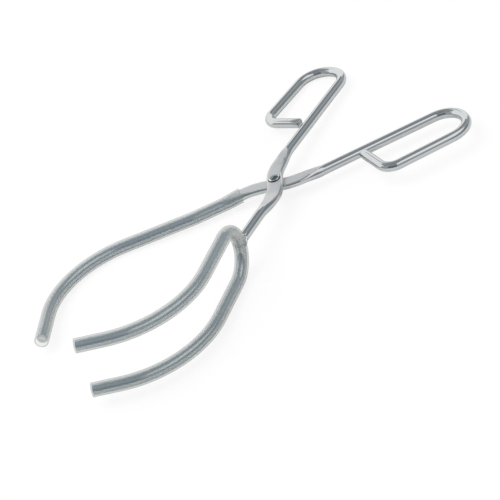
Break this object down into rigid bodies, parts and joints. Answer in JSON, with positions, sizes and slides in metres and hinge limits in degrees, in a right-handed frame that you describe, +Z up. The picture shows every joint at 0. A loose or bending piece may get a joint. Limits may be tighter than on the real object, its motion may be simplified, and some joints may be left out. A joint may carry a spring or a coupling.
{
  "type": "beaker tongs",
  "caption": "Scissor-action beaker tongs in bent steel rod: loop handles, a riveted flat pivot, a forked jaw and a single jaw, each in clear tubing.",
  "frame": {"origin": "on the bench under the middle of the tongs' bounding box, lying at rest", "axes": "+X along the tongs from the jaws to the handles, +Z up from the bench; the rivet's axis leans 7 degrees from +Z"},
  "size_m": [0.278, 0.1434, 0.0475],
  "materials": {
    "bright_steel": "electropolished stainless steel rod",
    "weld": "cleaned weld bead",
    "rivet": "bright headed rivet",
    "clear_tubing": "clear soft tubing"
  },
  "bodies": {
    "fork_arm_body": {"fork_arm": "bright_steel", "fork_prongs": "bright_steel", "fork_weld": "weld", "pivot_rivet": "rivet", "upper_prong_sleeve": "clear_tubing", "lower_prong_sleeve": "clear_tubing"},
    "jaw_arm_body": {"jaw_arm": "bright_steel", "jaw_sleeve": "clear_tubing"}
  },
  "joints": [
    {"name": "rivet_pivot", "type": "hinge", "parent": "fork_arm_body", "child": "jaw_arm_body", "pos_m": [0.03594, 0.00062, 0.01055], "axis": [0.0304, 0.1182, 0.9925], "range_deg": [-30, 20]}
  ]
}
